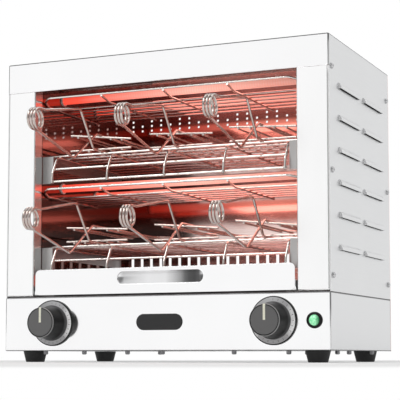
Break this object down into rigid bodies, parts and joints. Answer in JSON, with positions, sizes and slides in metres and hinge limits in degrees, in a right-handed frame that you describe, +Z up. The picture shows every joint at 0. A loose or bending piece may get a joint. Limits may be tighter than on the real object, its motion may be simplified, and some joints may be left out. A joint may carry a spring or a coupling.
{
  "type": "clamp toaster",
  "caption": "Two-deck bench-top clamp toaster: steel cabinet with quartz heaters, wire racks, spring-wire bread clamps, a slide-out crumb tray and turning knobs.",
  "frame": {"origin": "on the counter, level with the bottoms of the feet, under the middle of the whole outline with the clamps pushed in", "axes": "+X to the right seen from the front, +Y into the cabinet from its front, +Z up"},
  "size_m": [0.447, 0.4154, 0.388],
  "materials": {
    "casing": "polished",
    "panel": "satin",
    "liner": "bright",
    "bracket": "satin",
    "wire": "bright",
    "spring_wire": "bright",
    "fastener": "satin",
    "grip": "polished",
    "dial": "satin",
    "quartz": "clear",
    "heater": "glowing",
    "ceramic": "matt",
    "foot": "matt",
    "knob": "satin",
    "pointer": "satin",
    "bezel": "satin",
    "lens": "clear",
    "moulding": "matt",
    "gland": "matt"
  },
  "bodies": {
    "cabinet": {"base_pan": "casing", "bottom_plate": "panel", "rubber_feet": "foot", "cavity_floor": "liner", "left_cavity_wall": "liner", "right_cavity_wall": "liner", "roof_reflector": "liner", "back_panel": "panel", "left_side_panel": "panel", "right_side_panel": "panel", "rear_angles": "bracket", "fasteners": "fastener", "left_front_post": "casing", "right_front_post": "casing", "top_cover": "casing", "quartz_tubes": "quartz", "heating_coils": "heater", "ceramic_caps": "ceramic", "top_guard": "wire", "middle_guard": "wire", "upper_rack": "wire", "lower_rack": "wire", "rack_fences": "wire", "rack_rails": "bracket", "tray_runners": "bracket", "left_dial": "dial", "right_dial": "dial", "selector_switch": "moulding", "timer": "moulding", "lamp_bezel": "bezel", "lamp_lens": "lens", "badge_plate": "knob", "cable_gland": "gland", "terminal_block": "moulding"},
    "tray": {"crumb_tray": "casing", "tray_grip": "grip"},
    "left_control": {"left_knob": "knob", "left_pointer": "pointer", "left_shaft": "fastener"},
    "right_control": {"right_knob": "knob", "right_pointer": "pointer", "right_shaft": "fastener"},
    "clamp_1": {"clamp_1_spring": "spring_wire", "clamp_1_lower_jaw": "spring_wire"},
    "clamp_1_top": {"clamp_1_upper_jaw": "spring_wire"},
    "clamp_2": {"clamp_2_spring": "spring_wire", "clamp_2_lower_jaw": "spring_wire"},
    "clamp_2_top": {"clamp_2_upper_jaw": "spring_wire"},
    "clamp_3": {"clamp_3_spring": "spring_wire", "clamp_3_lower_jaw": "spring_wire"},
    "clamp_3_top": {"clamp_3_upper_jaw": "spring_wire"},
    "clamp_4": {"clamp_4_spring": "spring_wire", "clamp_4_lower_jaw": "spring_wire"},
    "clamp_4_top": {"clamp_4_upper_jaw": "spring_wire"},
    "clamp_5": {"clamp_5_spring": "spring_wire", "clamp_5_lower_jaw": "spring_wire"},
    "clamp_5_top": {"clamp_5_upper_jaw": "spring_wire"},
    "clamp_6": {"clamp_6_spring": "spring_wire", "clamp_6_lower_jaw": "spring_wire"},
    "clamp_6_top": {"clamp_6_upper_jaw": "spring_wire"}
  },
  "joints": [
    {"name": "tray_slide", "type": "slide", "parent": "cabinet", "child": "tray", "axis": [0, -1, 0], "range_m": [0, 0.2]},
    {"name": "left_knob_turn", "type": "hinge", "parent": "cabinet", "child": "left_control", "pos_m": [-0.1495, -0.07626, 0.0493], "axis": [0, 1, 0], "range_deg": [0, 270]},
    {"name": "right_knob_turn", "type": "hinge", "parent": "cabinet", "child": "right_control", "pos_m": [0.1495, -0.07626, 0.0493], "axis": [0, 1, 0], "range_deg": [0, 300]},
    {"name": "clamp_1_pull", "type": "slide", "parent": "cabinet", "child": "clamp_1", "axis": [0, -1, 0], "range_m": [0, 0.2]},
    {"name": "clamp_1_squeeze", "type": "hinge", "parent": "clamp_1", "child": "clamp_1_top", "pos_m": [-0.10119, -0.19126, 0.2876], "axis": [1, 0, 0], "range_deg": [0, 5], "stiffness_Nm_per_rad": 2, "springref_deg": -5.73, "deforming": ["clamp_1_spring"]},
    {"name": "clamp_2_pull", "type": "slide", "parent": "cabinet", "child": "clamp_2", "axis": [0, -1, 0], "range_m": [0, 0.2]},
    {"name": "clamp_2_squeeze", "type": "hinge", "parent": "clamp_2", "child": "clamp_2_top", "pos_m": [0.0055, -0.17526, 0.2876], "axis": [1, 0, 0], "range_deg": [0, 5], "stiffness_Nm_per_rad": 2, "springref_deg": -5.73, "deforming": ["clamp_2_spring"]},
    {"name": "clamp_3_pull", "type": "slide", "parent": "cabinet", "child": "clamp_3", "axis": [0, -1, 0], "range_m": [0, 0.2]},
    {"name": "clamp_3_squeeze", "type": "hinge", "parent": "clamp_3", "child": "clamp_3_top", "pos_m": [0.11919, -0.18126, 0.2876], "axis": [1, 0, 0], "range_deg": [0, 5], "stiffness_Nm_per_rad": 2, "springref_deg": -5.73, "deforming": ["clamp_3_spring"]},
    {"name": "clamp_4_pull", "type": "slide", "parent": "cabinet", "child": "clamp_4", "axis": [0, -1, 0], "range_m": [0, 0.2]},
    {"name": "clamp_4_squeeze", "type": "hinge", "parent": "clamp_4", "child": "clamp_4_top", "pos_m": [-0.10419, -0.19426, 0.1686], "axis": [1, 0, 0], "range_deg": [0, 5], "stiffness_Nm_per_rad": 2, "springref_deg": -5.73, "deforming": ["clamp_4_spring"]},
    {"name": "clamp_5_pull", "type": "slide", "parent": "cabinet", "child": "clamp_5", "axis": [0, -1, 0], "range_m": [0, 0.2]},
    {"name": "clamp_5_squeeze", "type": "hinge", "parent": "clamp_5", "child": "clamp_5_top", "pos_m": [0.013, -0.17526, 0.1686], "axis": [1, 0, 0], "range_deg": [0, 5], "stiffness_Nm_per_rad": 2, "springref_deg": -5.73, "deforming": ["clamp_5_spring"]},
    {"name": "clamp_6_pull", "type": "slide", "parent": "cabinet", "child": "clamp_6", "axis": [0, -1, 0], "range_m": [0, 0.2]},
    {"name": "clamp_6_squeeze", "type": "hinge", "parent": "clamp_6", "child": "clamp_6_top", "pos_m": [0.12319, -0.17226, 0.1686], "axis": [1, 0, 0], "range_deg": [0, 5], "stiffness_Nm_per_rad": 2, "springref_deg": -5.73, "deforming": ["clamp_6_spring"]}
  ]
}
